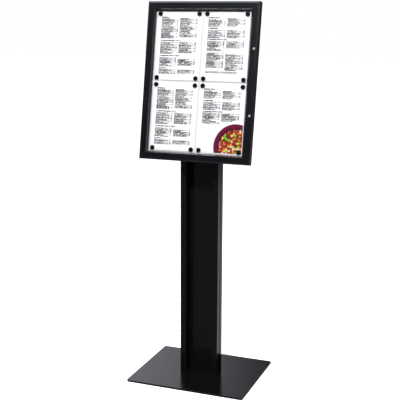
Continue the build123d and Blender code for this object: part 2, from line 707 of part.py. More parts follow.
def door_corner_keys():
    """L keys that fill the rails' chambers at each mitre."""
    gap = CORNER_KEY_GAP
    leg = CORNER_KEY_LEG
    (x0, y0), (x1, y1) = door_chamber()[0], door_chamber()[2]
    near = CASE_W / 2 - x0 - gap
    far = CASE_W / 2 - x1 + gap
    top = CASE_H / 2 - x0 - gap
    low = CASE_H / 2 - x1 + gap
    key = block(near - leg, near, y0 + gap, y1 - gap, low, top)
    key += block(far, near, y0 + gap, y1 - gap, top - leg, top)
    right = [key, mirror(key, about=Plane.XY)]
    return right + [mirror(one, about=Plane.YZ) for one in right]


def make_glazing():
    """The clear pane and the four beads that hold it in the frame."""
    pane_y0 = RAIL_LIP_D + GLAZING_SEAL_T
    pane_y1 = pane_y0 + PANE_T
    edge = RAIL_W - RAIL_LIP_W
    half_w = CASE_W / 2 - edge - PANE_EDGE_GAP
    half_h = CASE_H / 2 - edge - PANE_EDGE_GAP
    parts["pane"] = tilted * block(-half_w, half_w, pane_y0, pane_y1, -half_h, half_h)
    bead_y1 = pane_y1 + BEAD_D
    bead_nose = pane_y1 + BEAD_D / 2
    outline = [(edge, pane_y1), (edge + BEAD_W, pane_y1), (edge + BEAD_W, bead_nose), (edge, bead_y1)]
    bead_w = mitred(outline, CASE_W, edge + BEAD_W)
    bead_h = mitred(outline, CASE_H, edge + BEAD_W)
    parts["glazing_beads"] = tilted * group(four_sides(bead_w, bead_h, CASE_W, CASE_H).values())


# ---------------------------------------------------------------- locks
def make_lock(place):
    """A small cam lock: threaded housing, thin nut, and a turning plug with its cam and screw."""
    x = CASE_W / 2 - LOCK_EDGE
    z = LOCK_Z[place]
    ring_y = -LOCK_RING_T
    housing = rod_y(x, z, LOCK_RING_R, ring_y, 0)
    housing = chamfer(housing.faces().sort_by(Axis.Y)[0].edges(), 0.5)
    housing += rod_y(x, z, LOCK_BODY_R, 0, LOCK_BODY_END)
    housing -= rod_y(x, z, LOCK_BORE_R, ring_y - 1, LOCK_BODY_END + 1)
    hexagon = Rot(0, 0, 30) * RegularPolygon(NUT_FLAT / 2, 6, major_radius=False)
    nut = Pos(x, DOOR_BACK + NUT_T, z) * Rot(90, 0, 0) * extrude(hexagon, amount=NUT_T)
    nut -= rod_y(x, z, LOCK_BODY_R, DOOR_BACK - 1, DOOR_BACK + NUT_T + 1)
    plug = rod_y(x, z, LOCK_PLUG_R, ring_y + 0.2, LOCK_BODY_END)
    plug += rod_y(x, z, LOCK_TAIL_R, LOCK_BODY_END, CAM_DEPTH)
    slot_x = KEY_SLOT_W / 2
    slot_z = KEY_SLOT_H / 2
    plug -= block(x - slot_x, x + slot_x, ring_y - 1, KEY_SLOT_DEPTH, z - slot_z, z + slot_z)
    plug -= rod_y(x, z, CAM_SCREW_R, CAM_DEPTH - CAM_SCREW_LENGTH - 1, CAM_DEPTH + 1)
    cam_end = CAM_DEPTH + CAM_T
    cam = rod_y(x, z, CAM_W / 2, CAM_DEPTH, cam_end)
    cam += block(x - CAM_W / 2, x + CAM_W / 2, CAM_DEPTH, cam_end, z - CAM_REACH, z)
    cam = chamfer(cam.faces().sort_by(Axis.Z)[0].edges().filter_by(Axis.Y), 1.5)
    cam -= rod_y(x, z, CAM_SCREW_R, CAM_DEPTH - 1, cam_end + 1)
    head_end = cam_end + CAM_SCREW_HEAD_H
    head = rod_y(x, z, CAM_SCREW_HEAD_R, cam_end, head_end)
    head = fillet(head.faces().sort_by(Axis.Y)[-1].edges(), 1.0)
    screw = head + rod_y(x, z, CAM_SCREW_R, CAM_DEPTH - CAM_SCREW_LENGTH, cam_end)
    screw -= block(x - 2.4, x + 2.4, head_end - 1.0, head_end + 1, z - 0.4, z + 0.4)
    parts[f"lock_{place}_housing"] = tilted * housing
    parts[f"lock_{place}_nut"] = tilted * nut
    parts[f"lock_{place}_plug"] = tilted * plug
    parts[f"lock_{place}_cam"] = tilted * cam
    parts[f"lock_{place}_cam_screw"] = tilted * screw


# ---------------------------------------------------------------- what the case shows
def make_sheets_and_magnets():
    """Four A4 sheets, each held by a magnet near each corner."""
    magnets = []
    for row, sz in (("upper", 1), ("lower", -1)):
        for column, sx in (("left", -1), ("right", 1)):
            x = sx * (SHEET_W + SHEET_GAP_X) / 2
            z = sz * (SHEET_H + SHEET_GAP_Z) / 2
            sheet = Pos(x, BOARD_FRONT - SHEET_T / 2, z) * Box(SHEET_W, SHEET_T, SHEET_H)
            parts[f"sheet_{row}_{column}"] = tilted * sheet
            for mx in (-1, 1):
                for mz in (-1, 1):
                    magnet_x = x + mx * (SHEET_W / 2 - MAGNET_INSET_X)
                    magnet_z = z + mz * (SHEET_H / 2 - MAGNET_INSET_Z)
                    magnets.append(magnet(magnet_x, magnet_z))
    parts["magnets"] = tilted * group(magnets)


def magnet(x, z):
    """A round button magnet with a rounded rim."""
    back = BOARD_FRONT - SHEET_T
    button = rod_y(x, z, MAGNET_R, back - MAGNET_T, back)
    return fillet(button.faces().sort_by(Axis.Y)[0].edges(), MAGNET_DOME)


make_base()
make_posts()
make_channel()
make_brackets()
make_case_frame()
make_case_inside()
make_board_trim()
make_seals()
make_hinge()
make_door_frame()
make_glazing()
for lock_place in LOCK_Z:
    make_lock(lock_place)
make_sheets_and_magnets()

os.makedirs("parts", exist_ok=True)
for node, shape in parts.items():
    export_step(shape, f"parts/{node}.step")

lean = math.radians(TILT)


def point_on_case(x, up, back):
    """A point in metres, from its place on the case: across, up the face, and back from it."""
    y = FACE_Y + up * math.sin(lean) + back * math.cos(lean)
    z = FACE_Z + up * math.cos(lean) - back * math.sin(lean)
    return [round(x / 1000, 6), round(y / 1000, 6), round(z / 1000, 6)]


print(len(parts), "nodes")
print("hinge axis point", point_on_case(-CASE_W / 2 + HINGE_EDGE, 0, HINGE_DEPTH))
for lock_place, up in LOCK_Z.items():
    print("lock", lock_place, "axis point", point_on_case(CASE_W / 2 - LOCK_EDGE, up, 0))
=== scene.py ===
import json
import math

import bmesh
import bpy
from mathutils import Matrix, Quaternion, Vector


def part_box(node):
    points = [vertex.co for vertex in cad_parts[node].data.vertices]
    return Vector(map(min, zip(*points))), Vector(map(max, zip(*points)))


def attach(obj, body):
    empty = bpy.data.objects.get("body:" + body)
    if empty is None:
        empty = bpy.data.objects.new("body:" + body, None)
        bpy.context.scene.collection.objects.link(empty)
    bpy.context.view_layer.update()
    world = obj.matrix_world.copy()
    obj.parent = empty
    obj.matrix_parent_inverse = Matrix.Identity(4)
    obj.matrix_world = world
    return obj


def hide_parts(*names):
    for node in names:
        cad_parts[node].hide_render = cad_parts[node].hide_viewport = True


# The looks of a free-standing, lockable menu case: finishes, edges, the printed sheets, light and camera.
# Lengths are metres, +Z is up and the display faces -Y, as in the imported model.

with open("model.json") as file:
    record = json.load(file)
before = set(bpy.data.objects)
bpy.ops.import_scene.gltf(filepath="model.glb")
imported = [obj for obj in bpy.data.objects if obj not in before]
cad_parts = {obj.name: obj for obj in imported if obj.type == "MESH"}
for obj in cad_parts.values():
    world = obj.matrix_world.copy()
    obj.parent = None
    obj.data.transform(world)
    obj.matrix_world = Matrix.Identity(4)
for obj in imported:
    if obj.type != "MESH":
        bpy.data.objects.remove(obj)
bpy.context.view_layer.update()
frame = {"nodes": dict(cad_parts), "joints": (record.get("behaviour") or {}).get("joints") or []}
nodes = frame["nodes"]
hinge = next(joint for joint in frame["joints"] if joint["name"] == "door_hinge")

MM = 0.001
ACROSS = Vector((1.0, 0.0, 0.0))
FACE_UP = -Vector(hinge["axis"]).normalized()       # up the leaning case
FACE_OUT = ACROSS.cross(FACE_UP)                    # out of the door, towards the reader
LEAN = math.atan2(FACE_UP.y, FACE_UP.z)

# ---------------------------------------------------------------- camera and light, driving values
CAMERA_AZIMUTH = math.radians(20.787)
CAMERA_ELEVATION = math.radians(11.981)
CAMERA_ROLL = math.radians(0.270)
CAMERA_DISTANCE = 3.8605
CAMERA_TARGET = Vector((-0.0080, 0.0, 0.8074))
CAMERA_LENS_MM = 78.753

BACKGROUND = 1.0
ROOM_WALLS = 0.035
FLOOR_BEHIND = 0.60
# Soft panels round the room: (direction, degrees at full strength, degrees where it ends, radiance)
PANELS = [
    ((-0.30, -0.15, 0.94), 18.0, 40.0, 1.25),
    ((-0.15, -0.85, 0.50), 4.0, 22.0, 0.18),
    ((-1.0, 0.0, 0.1), 15.0, 50.0, 0.06),
    ((-0.65, 0.65, 0.39), 15.0, 29.0, 1.22),
    ((-0.25, -0.80, -0.55), 20.0, 42.0, 0.11),
    ((0.78, 0.52, -0.34), 8.0, 27.0, 1.4),
    ((-0.75, 0.55, -0.35), 8.0, 30.0, 1.1),
    ((0.96, 0.05, -0.28), 10.0, 34.0, 0.40),
    ((0.60, -0.60, 0.53), 6.0, 21.0, 1.6),
    ((-0.68, -0.52, 0.52), 6.0, 20.0, 1.2),
]

PAINTED_SHADE_BAND = 12.4              # painted shade: a black band along the board's top edge, where the top rail shades it, in millimetres
SLOPE_FACING = (0.50, 0.62)     # which faces of the door's inner slope get the painted highlight: how far they face the reader, as a cosine
WELD_REACH = 0.00001
SHARP_EDGE = math.radians(32.0)
STAGE_HALF = 30.0
STAGE_DROP = 0.0002
LIGHTS_AIM = (0.0, 0.0, 1.0)
# Soft lamps that the finishes don't mirror: (name, place, width, height, watts)
LAMPS = [
    ("key", (0.5, -5.1, 6.5), 0.8, 0.8, 640.0),
    ("front", (-0.6, -3.8, 1.7), 2.6, 2.2, 4.0),
    ("fill", (2.8, -2.6, 1.6), 2.0, 2.4, 5.0),
]

# ---------------------------------------------------------------- the sheets, driving values in millimetres
SHEET_W = 210.0
SHEET_H = 297.0
SHEET_T = 0.15
MAGNET_INSET_X = 15.4
MAGNET_INSET_Z = 12.0
MAGNET_HOLD = 11.0          # the sheet lies flat this far from a magnet's centre
SHEET_LIFT = 0.9            # how far an edge stands off the board between magnets
LIFT_FADE = 60.0            # from flat at a magnet to the full lift
SIDE_CURL_REACH = 26.0
END_CURL_REACH = 22.0
END_CURL_SHARE = 0.55
GRID_STEP = 6.0
COLUMN_LEFT = (22.0, 99.0)
COLUMN_RIGHT = (107.0, 186.0)
LINE_PITCH = 4.3
LINES_APART = 100           # keeps each block's random lines unlike the next block's
# Where each finish stands in a sheet's list of materials
TEXT, HEADING, FOOT, PICTURE = 1, 2, 3, 4

# A page is a list of sections. A heading is (top, right end, height) and a foot is (top, right end,
# number of lines). Each column has blocks of text as (top, number of lines).
PAGE_LEFT = [
    {"heading": (24.8, 56.0, 4.6), "left": [(30.8, 20)], "right": [(29.8, 19)]},
    {"heading": (123.6, 114.0, 4.2), "left": [(131.3, 12)], "right": [(131.3, 11)]},
    {"heading": (188.4, 112.0, 4.6), "left": [(197.6, 9)], "right": [(202.8, 7)]},
    {"heading": (240.8, 56.0, 3.6), "left": [(247.0, 5)], "right": [(249.4, 4)]},
]
PAGE_TOP_RIGHT = [
    {"heading": (25.4, 72.0, 4.6), "left": [(33.8, 8)], "right": [(29.8, 8)]},
    {"heading": (70.8, 66.0, 4.6), "left": [(79.4, 8)], "right": [(78.4, 8)]},
    {"heading": (117.0, 108.0, 4.4), "left": [(124.8, 10), (173.4, 15)], "right": [(124.8, 7), (179.4, 16)]},
    {"foot": (252.0, 162.0, 2)},
]
PAGE_BOTTOM_RIGHT = [
    {"heading": (23.0, 73.0, 4.6), "left": [(31.0, 8)], "right": [(30.6, 8)]},
    {"heading": (70.5, 66.0, 4.6), "left": [(78.0, 8)], "right": [(77.2, 8)]},
    {"heading": (117.2, 110.0, 4.4), "left": [(123.4, 11)], "right": [(124.6, 8)]},
]

BOWL_CENTRE = (178.0, 32.0)     # from the sheet's lower left corner
BOWL_R = 97.5
BOWL_RIM = 24.0
BOWL_FRAME = (78.0, 206.5, 4.5, 131.0)      # the picture's left, right, bottom and top
# The colours of the pieces in the bowl, each given to the cells whose random value is above its limit
BOWL_COLOURS = [
    (0.20, (0.80, 0.20, 0.030)),
    (0.36, (0.26, 0.60, 0.03)),
    (0.50, (0.95, 0.55, 0.12)),
    (0.62, (0.06, 0.010, 0.006)),
    (0.74, (0.85, 0.80, 0.58)),
    (0.86, (0.40, 0.012, 0.010)),
]


# ================================================================ shader building
def node(tree, kind, inputs=None, **settings):
    """Adds a shader node. An input is a plain value or another node's output socket."""
    made = tree.nodes.new("ShaderNode" + kind)
    for name, value in settings.items():
        setattr(made, name, value)
    for key, value in (inputs or {}).items():
        if isinstance(value, bpy.types.NodeSocket):
            tree.links.new(value, made.inputs[key])
        else:
            made.inputs[key].default_value = value
    return made


def maths(tree, operation, a, b=0.0, clamp=False):
    return node(tree, "Math", {0: a, 1: b}, operation=operation, use_clamp=clamp).outputs[0]


def product(tree, first, *others):
    for other in others:
        first = maths(tree, "MULTIPLY", first, other)
    return first


def ramp(tree, value, low, high, to_low=0.0, to_high=1.0, smooth=True):
    """A value carried smoothly from one range to another."""
    kind = "SMOOTHSTEP" if smooth else "LINEAR"
    inputs = {"Value": value, "From Min": low, "From Max": high, "To Min": to_low, "To Max": to_high}
    return node(tree, "MapRange", inputs, interpolation_type=kind).outputs["Result"]


def mix(tree, share, a, b):
    """A colour between two colours."""
    made = node(tree, "Mix", data_type="RGBA")
    for socket, value in (("Factor_Float", share), ("A_Color", a), ("B_Color", b)):
        target = next(one for one in made.inputs if one.identifier == socket)
        if isinstance(value, bpy.types.NodeSocket):
            tree.links.new(value, target)
        else:
            target.default_value = value
    return next(one for one in made.outputs if one.identifier == "Result_Color")


def rgb(r, g, b):
    return (r, g, b, 1.0)


def start_material(name, colour, roughness, metallic=0.0, specular=0.5):
    """A material with one Principled shader, its plain values set on the shader."""
    material = bpy.data.materials.new(name)
    material.use_nodes = True
    material.diffuse_color = colour
    tree = material.node_tree
    shader = tree.nodes["Principled BSDF"]
    shader.inputs["Base Color"].default_value = colour
    shader.inputs["Roughness"].default_value = roughness
    shader.inputs["Metallic"].default_value = metallic
    shader.inputs["Specular IOR Level"].default_value = specular
    return material, tree, shader


def place_on(tree, stretch=(1.0, 1.0, 1.0), turn=0.0):
    """Object coordinates, scaled along the piece's own axes after a turn about X."""
    coordinates = node(tree, "TexCoord").outputs["Object"]
    turned = node(tree, "Mapping", {"Vector": coordinates, "Rotation": (turn, 0.0, 0.0)}).outputs[0]
    return node(tree, "Mapping", {"Vector": turned, "Scale": stretch}).outputs[0]


def noise(tree, place, scale, detail=2.0, roughness=0.5):
    inputs = {"Vector": place, "Scale": scale, "Detail": detail, "Roughness": roughness}
    return node(tree, "TexNoise", inputs).outputs["Fac"]


def vary_roughness(tree, shader, amount, low, high):
    tree.links.new(ramp(tree, amount, 0.3, 0.7, low, high, False), shader.inputs["Roughness"])


def vary_colour(tree, shader, amount, a, b):
    share = ramp(tree, amount, 0.3, 0.7)
    tree.links.new(mix(tree, share, a, b), shader.inputs["Base Color"])


def bump(tree, shader, height, distance, strength=1.0):
    inputs = {"Height": height, "Distance": distance, "Strength": strength}
    tree.links.new(node(tree, "Bump", inputs).outputs["Normal"], shader.inputs["Normal"])


# ================================================================ finishes
def powder_coat(name, dark, light, low, high, grain, depth, specular=0.5):
    """Baked powder paint: orange peel at the size of the powder, and a faint drift in gloss."""
    material, tree, shader = start_material(name, dark, (low + high) / 2, specular=specular)
    place = place_on(tree)
    peel = noise(tree, place, grain, 3.0, 0.55)
    drift = noise(tree, place, 9.0, 3.0)
    vary_colour(tree, shader, drift, dark, light)
    vary_roughness(tree, shader, drift, low, high)
    bump(tree, shader, peel, depth)
    return material


def drawn_aluminium(name, dark, light, low, high, along):
    """Anodised or bare extrusion: fine die lines along the bar, over a soft drift in tone."""
    stretch = {"x": (1.0, 40.0, 40.0), "up": (40.0, 40.0, 1.0)}[along]
    turn = LEAN if along == "up" else 0.0
    material, tree, shader = start_material(name, dark, (low + high) / 2, 1.0)
    lines = noise(tree, place_on(tree, stretch, turn), 45.0, 4.0, 0.6)
    drift = noise(tree, place_on(tree), 14.0, 2.0)
    tone = maths(tree, "ADD", maths(tree, "MULTIPLY", lines, 0.5), maths(tree, "MULTIPLY", drift, 0.5))
    vary_colour(tree, shader, tone, dark, light)
    vary_roughness(tree, shader, tone, low, high)
    bump(tree, shader, lines, 0.00002, 0.6)
    return material


def board_enamel():
    """White enamel on the magnet board, with painted shade: a black band along its top edge, where the top
    rail shades it.
    """
    white = rgb(0.72, 0.72, 0.73)
    material, tree, shader = start_material("white_enamel", white, 0.21)
    place = place_on(tree)
    drift = noise(tree, place, 9.0, 3.0)
    enamel = mix(tree, drift, white, rgb(0.76, 0.76, 0.77))
    top_edge = FACE_UP.dot(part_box("magnet_board")[1])
    height = node(tree, "VectorMath", {0: place, 1: tuple(FACE_UP)}, operation="DOT_PRODUCT").outputs["Value"]
    # painted shade: the board turns black within this band of its top edge, under the top rail
    shade_band_mask = maths(tree, "GREATER_THAN", height, top_edge - PAINTED_SHADE_BAND * MM)
    tree.links.new(mix(tree, shade_band_mask, enamel, rgb(0.004, 0.004, 0.004)), shader.inputs["Base Color"])
    vary_roughness(tree, shader, drift, 0.18, 0.24)
    return material


def bare_metal(name, dark, light, low, high, grain, metallic=1.0):
    """Plated steel: passivated patches and a fine tumbled grain."""
    material, tree, shader = start_material(name, dark, (low + high) / 2, metallic)
    place = place_on(tree)
    patches = noise(tree, place, 160.0, 4.0, 0.6)
    fine = noise(tree, place, grain, 2.0)
    vary_colour(tree, shader, patches, dark, light)
    vary_roughness(tree, shader, patches, low, high)
    bump(tree, shader, fine, 0.00002, 0.5)
    return material


def moulded(name, dark, light, low, high, grain, depth):
    """Plastic or rubber from a mould: a fine even texture and slight handling marks."""
    material, tree, shader = start_material(name, dark, (low + high) / 2)
    place = place_on(tree)
    marks = noise(tree, place, 60.0, 5.0, 0.7)
    fine = noise(tree, place, grain, 2.0)
    vary_colour(tree, shader, marks, dark, light)
    vary_roughness(tree, shader, marks, low, high)
    bump(tree, shader, fine, depth)
    return material


def clear_sheet():
    """Acrylic that passes light straight on and mirrors by its Fresnel share, with faint wiped streaks."""
    material, tree, shader = start_material("clear_acrylic", rgb(1.0, 1.0, 1.0), 0.04, 1.0)
    place = place_on(tree, (1.0, 1.0, 6.0), LEAN)
    streaks = noise(tree, place, 7.0, 5.0, 0.65)
    facing = node(tree, "LayerWeight", {"Blend": 0.5}).outputs["Facing"]
    mirrored = maths(tree, "MULTIPLY", maths(tree, "POWER", facing, 5.0), 0.96)
    haze = ramp(tree, streaks, 0.45, 0.75, 0.04, 0.046)
    tree.links.new(maths(tree, "ADD", mirrored, haze), shader.inputs["Alpha"])
    vary_roughness(tree, shader, streaks, 0.02, 0.07)
    return material


def paper_tones(tree, place):
    """Uncoated paper's colour, with fibres just visible close up."""
    fibres = noise(tree, place, 900.0, 3.0, 0.7)
    share = ramp(tree, fibres, 0.3, 0.7)
    return mix(tree, share, rgb(0.915, 0.915, 0.918), rgb(0.95, 0.95, 0.953)), fibres


def paper():
    material, tree, shader = start_material("paper", rgb(0.93, 0.93, 0.935), 0.72, specular=0.3)
    tone, fibres = paper_tones(tree, place_on(tree))
    tree.links.new(tone, shader.inputs["Base Color"])
    bump(tree, shader, fibres, 0.00003, 0.5)
    return material


def between(tree, value, low, high):
    """1 where a value lies between two others."""
    return product(tree, maths(tree, "GREATER_THAN", value, low), maths(tree, "LESS_THAN", value, high))


def random_at(tree, x, y):
    """Three random values for a cell of a grid."""
    cell = node(tree, "CombineXYZ", {"X": x, "Y": y, "Z": 0.5}).outputs[0]
    colour = node(tree, "TexWhiteNoise", {"Vector": cell}, noise_dimensions="3D").outputs["Color"]
    split = node(tree, "SeparateColor", {"Color": colour})
    return split.outputs[0], split.outputs[1], split.outputs[2]


def greeked_text(name, pitch, cell, ink, weight, with_prices):
    """Lines of unreadable type: a row of small bars of differing height, with gaps between words."""
    material, tree, shader = start_material(name, rgb(0.6, 0.6, 0.6), 0.7, specular=0.3)
    block = node(tree, "UVMap", uv_map="from_block_corner").outputs[0]
    size = node(tree, "UVMap", uv_map="to_block_end").outputs[0]
    block_xy = node(tree, "SeparateXYZ", {0: block})
    size_xy = node(tree, "SeparateXYZ", {0: size})
    x, y = block_xy.outputs[0], block_xy.outputs[1]
    to_end, width = size_xy.outputs[0], size_xy.outputs[1]

    line = maths(tree, "FLOOR", maths(tree, "DIVIDE", y, pitch))
    down = maths(tree, "FRACT", maths(tree, "DIVIDE", y, pitch))
    column = maths(tree, "FLOOR", maths(tree, "DIVIDE", x, cell))
    inside = maths(tree, "FRACT", maths(tree, "DIVIDE", x, cell))
    gap, tall, low = random_at(tree, column, line)
    length, kind, has_price = random_at(tree, -7.0, line)

    top = ramp(tree, tall, 0.55, 0.56, 0.26 - weight, 0.12 - weight)
    bottom = ramp(tree, low, 0.84, 0.85, 0.82 + weight, 0.92 + weight)
    bar = product(tree, between(tree, down, top, bottom), between(tree, inside, 0.03, 0.97))
    word = product(tree, bar, maths(tree, "GREATER_THAN", gap, 0.11))
    if not with_prices:
        mark = word
        strength = 1.0
    else:
        reach = ramp(tree, length, 0.0, 1.0, 0.42, 0.86, False)
        line_end = product(tree, width, reach)
        word = product(tree, word, maths(tree, "LESS_THAN", x, line_end))
        priced = maths(tree, "GREATER_THAN", has_price, 0.38)
        price = product(tree, bar, ramp(tree, to_end, 5.4, 5.5, 0.95, 0.0))
        dots = maths(tree, "FRACT", maths(tree, "DIVIDE", x, 1.1))
        dotted = product(tree, maths(tree, "LESS_THAN", dots, 0.85), between(tree, down, 0.46, 0.80))
        past_words = maths(tree, "GREATER_THAN", x, line_end)
        leader = product(tree, dotted, past_words, maths(tree, "GREATER_THAN", to_end, 5.9))
        tail = product(tree, maths(tree, "MAXIMUM", price, leader), priced)
        mark = maths(tree, "MAXIMUM", word, tail)
        strength = ramp(tree, kind, 0.40, 0.41, 1.0, 0.80)
    share = maths(tree, "MULTIPLY", mark, strength, True)
    tone, fibres = paper_tones(tree, place_on(tree))
    tree.links.new(mix(tree, share, tone, rgb(ink, ink, ink * 1.1)), shader.inputs["Base Color"])
    bump(tree, shader, fibres, 0.00003, 0.5)
    return material


def printed_bowl():
    """A printed picture of a bowl of chopped vegetables, drawn from cells of colour."""
    material, tree, shader = start_material("printed_bowl", rgb(0.3, 0.05, 0.1), 0.6, specular=0.35)
    spot = node(tree, "UVMap", uv_map="on_sheet").outputs[0]
    split = node(tree, "SeparateXYZ", {0: spot})
    x, y = split.outputs[0], split.outputs[1]

    def distance_to(cx, cy):
        dx = maths(tree, "SUBTRACT", x, cx)
        dy = maths(tree, "SUBTRACT", y, cy)
        square = maths(tree, "ADD", maths(tree, "MULTIPLY", dx, dx), maths(tree, "MULTIPLY", dy, dy))
        return maths(tree, "SQRT", square)

    radius = distance_to(*BOWL_CENTRE)
    wobble = noise(tree, spot, 0.06, 3.0, 0.6)
    push = node(tree, "TexNoise", {"Vector": spot, "Scale": 0.13, "Detail": 2.0}).outputs["Color"]
    shift = node(tree, "VectorMath", {0: push, 1: (0.5, 0.5, 0.5)}, operation="SUBTRACT").outputs[0]
    bend = {0: shift, 1: (15.0, 15.0, 0.0), 2: spot}
    bent = node(tree, "VectorMath", bend, operation="MULTIPLY_ADD").outputs[0]
    pieces = {"Vector": bent, "Scale": 0.105, "Randomness": 1.0}
    cells = node(tree, "TexVoronoi", pieces, voronoi_dimensions="2D")
    pick = node(tree, "SeparateColor", {"Color": cells.outputs["Color"]})

    food = rgb(0.50, 0.035, 0.010)
    for limit, colour in BOWL_COLOURS:
        food = mix(tree, maths(tree, "GREATER_THAN", pick.outputs[0], limit), food, rgb(*colour))
    body = ramp(tree, cells.outputs["Distance"], 0.80, 0.34, 0.0, 1.0)
    food = mix(tree, body, rgb(0.045, 0.006, 0.003), food)
    glint = noise(tree, spot, 0.30, 2.0, 0.6)
    food = mix(tree, ramp(tree, glint, 0.58, 0.74, 0.0, 0.6), food, rgb(1.0, 0.80, 0.45))
    food = mix(tree, ramp(tree, glint, 0.42, 0.28, 0.0, 0.85), food, rgb(0.02, 0.004, 0.002))

    inner_rim = BOWL_R - BOWL_RIM
    across_rim = ramp(tree, radius, inner_rim, BOWL_R - 6.0)
    plum = mix(tree, across_rim, rgb(0.050, 0.001, 0.012), rgb(0.150, 0.003, 0.040))
    plum = mix(tree, ramp(tree, wobble, 0.35, 0.75, 0.0, 0.4), plum, rgb(0.190, 0.008, 0.058))
    plum = mix(tree, ramp(tree, radius, BOWL_R - 3.0, BOWL_R, 0.0, 0.6), plum, rgb(0.045, 0.004, 0.018))
    edge = maths(tree, "ADD", inner_rim - 9.0, maths(tree, "MULTIPLY", wobble, 18.0))
    picture = mix(tree, ramp(tree, maths(tree, "SUBTRACT", radius, edge), -1.5, 0.5), food, plum)
    tone, fibres = paper_tones(tree, place_on(tree))
    printed = mix(tree, ramp(tree, radius, BOWL_R - 0.3, BOWL_R + 0.3), picture, tone)
    tree.links.new(printed, shader.inputs["Base Color"])
    bump(tree, shader, fibres, 0.00002, 0.3)
    return material


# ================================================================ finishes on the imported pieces
def soften_edges(piece, width_mm):
    """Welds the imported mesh's split corners and rounds its sharp edges a little."""
    weld = piece.modifiers.new("weld", "WELD")
    weld.merge_threshold = WELD_REACH
    bevel = piece.modifiers.new("edges", "BEVEL")
    bevel.width = width_mm * MM
    bevel.segments = 2
    bevel.limit_method = "ANGLE"
    bevel.angle_limit = SHARP_EDGE
    bevel.harden_normals = True
    normals = piece.modifiers.new("normals", "WEIGHTED_NORMAL")
    normals.keep_sharp = True


def finish_nodes(names, material, edge_mm=0.0):
    for name in names:
        piece = nodes[name]
        piece.data.materials.clear()
        piece.data.materials.append(material)
        if edge_mm:
            soften_edges(piece, edge_mm)


def paint_slope_highlight(piece, material):
    """Painted highlight: a lighter copy of the anodised finish, as a second material on the faces of the
    slope that runs down from a door member's face to the pane.
    """
    piece.data.materials.append(material)
    for face in piece.data.polygons:
        if SLOPE_FACING[0] < face.normal.dot(FACE_OUT) < SLOPE_FACING[1]:
            face.material_index = 1


def finish_stand():
    base_dark = rgb(0.0030, 0.0030, 0.0032)
    base_light = rgb(0.0042, 0.0042, 0.0045)
    base = powder_coat("base_powder", base_dark, base_light, 0.16, 0.20, 1100.0, 0.00003)
    finish_nodes(["base_plate"], base)

    column_dark = rgb(0.0038, 0.0038, 0.0039)
    column_light = rgb(0.0046, 0.0046, 0.0047)
    column = powder_coat("column_powder", column_dark, column_light, 0.13, 0.17, 420.0, 0.00001, 0.4)
    finish_nodes(["column_post_left", "column_post_right", "column_channel"], column)

    bracket_dark = rgb(0.006, 0.006, 0.006)
    bracket_light = rgb(0.008, 0.008, 0.008)
    brackets = powder_coat("bracket_powder", bracket_dark, bracket_light, 0.5, 0.6, 900.0, 0.00005)
    finish_nodes(["tilt_bracket_left", "tilt_bracket_right"], brackets, 0.3)


def finish_case_and_door():
    dark = rgb(0.145, 0.147, 0.163)
    light = rgb(0.170, 0.172, 0.190)
    along_x = drawn_aluminium("anodised_rails", dark, light, 0.18, 0.25, "x")
    along_case = drawn_aluminium("anodised_stiles", dark, light, 0.18, 0.25, "up")
    rails = ["door_rail_top", "door_rail_bottom", "case_rail_top", "case_rail_bottom"]
    stiles = ["door_stile_left", "door_stile_right", "case_stile_left", "case_stile_right"]
    finish_nodes(rails, along_x, 0.3)
    finish_nodes(stiles, along_case, 0.3)
    finish_nodes(["glazing_beads", "board_trim"], along_x)

    # painted highlight: the slope's copy of the anodised finish is lighter than the faces beside it
    painted_highlight_dark = rgb(0.23, 0.23, 0.24)
    painted_highlight_light = rgb(0.26, 0.26, 0.27)
    painted_highlight_slope = drawn_aluminium("anodised_slope_painted_highlight", painted_highlight_dark, painted_highlight_light, 0.16, 0.22, "x")
    for name in rails[:2] + stiles[:2]:
        paint_slope_highlight(nodes[name], painted_highlight_slope)

    back_dark = rgb(0.0040, 0.0040, 0.0045)
    back_light = rgb(0.0055, 0.0055, 0.006)
    back = powder_coat("back_powder", back_dark, back_light, 0.30, 0.38, 900.0, 0.00004)
    finish_nodes(["case_back_panel", "back_panel_rivets"], back)


def finish_hardware():
    mill_dark = rgb(0.60, 0.60, 0.61)
    mill_light = rgb(0.70, 0.70, 0.71)
    mill = drawn_aluminium("mill_aluminium", mill_dark, mill_light, 0.28, 0.40, "x")
    spacers = [f"board_spacer_{side}" for side in ("top", "bottom", "left", "right")]
    finish_nodes(spacers + ["door_corner_keys"], mill)

    zinc = bare_metal("zinc_plate", rgb(0.50, 0.50, 0.52), rgb(0.62, 0.62, 0.63), 0.25, 0.42, 2600.0)
    zinc_nodes = [
        "base_bolts", "post_foot_left", "post_foot_right", "channel_screws", "bracket_post_bolts",
        "bracket_case_bolts", "back_stiffener_left", "back_stiffener_right", "case_corner_brackets",
        "hinge_fixed_leaf", "hinge_door_leaf", "hinge_pin", "hinge_case_screws", "hinge_door_screws",
    ]
    chrome_nodes = []
    for place in ("upper", "lower"):
        zinc_nodes += [f"lock_{place}_nut", f"lock_{place}_cam", f"lock_{place}_cam_screw"]
        chrome_nodes += [f"lock_{place}_housing", f"lock_{place}_plug"]
    finish_nodes(zinc_nodes, zinc)

    chrome_dark = rgb(0.72, 0.72, 0.73)
    chrome_light = rgb(0.80, 0.80, 0.81)
    finish_nodes(chrome_nodes, bare_metal("lock_chrome", chrome_dark, chrome_light, 0.22, 0.32, 3000.0, 0.6))


